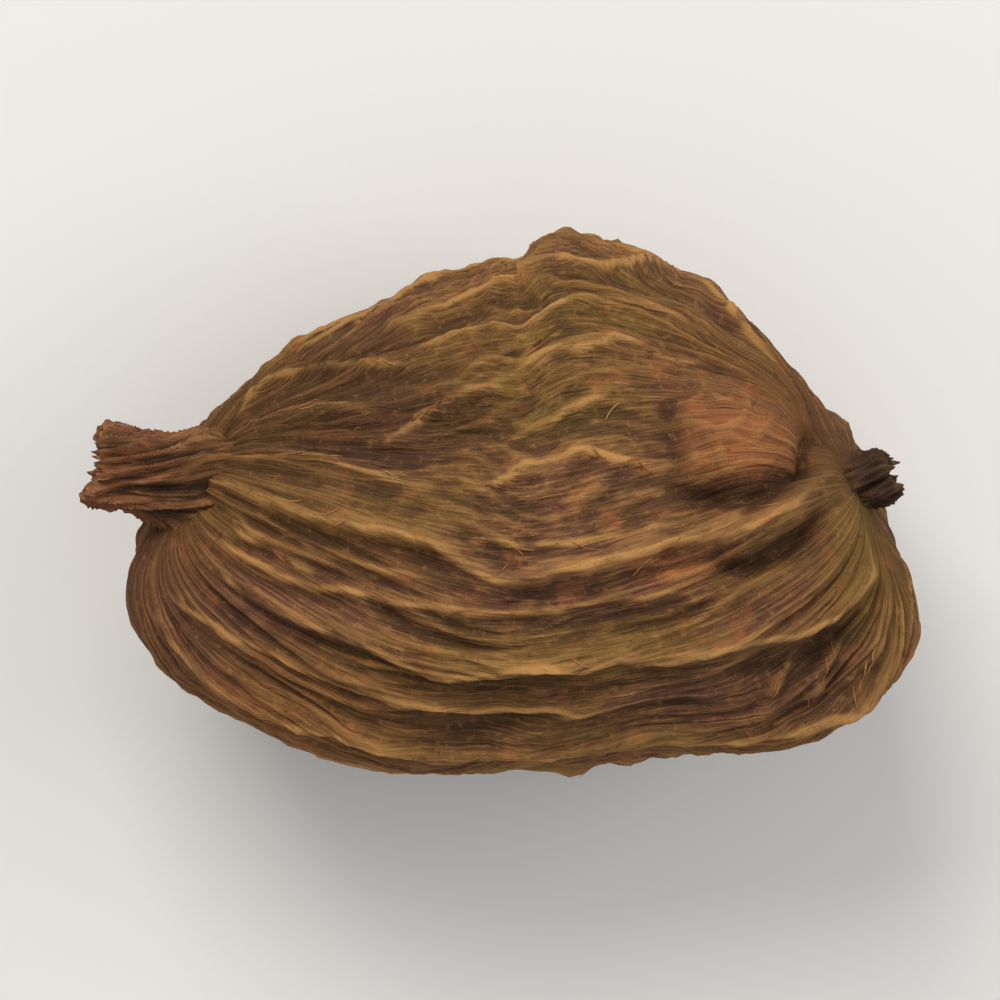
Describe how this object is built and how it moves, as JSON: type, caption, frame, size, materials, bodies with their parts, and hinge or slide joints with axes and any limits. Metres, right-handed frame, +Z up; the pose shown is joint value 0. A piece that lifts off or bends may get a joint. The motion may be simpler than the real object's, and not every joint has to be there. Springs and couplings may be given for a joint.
{
  "type": "black cardamom pod",
  "caption": "Closed, dried black cardamom pod with long crests and creases, a broken stalk stub at one end and a calyx remnant at the other. It lies on its keel.",
  "frame": {"origin": "middle of the pod's bounding box in plan, on the surface that it lies on", "axes": "+X from the stalk end to the calyx end, +Y across the pod towards the side that its two ends curl to, +Z up from the surface that it lies on"},
  "size_m": [0.0284, 0.0186, 0.0167],
  "materials": {
    "husk": "dry, matt, fibrous brown husk with paler tan crests and darker brown creases"
  },
  "bodies": {
    "root": {"pod": "husk"}
  },
  "joints": []
}
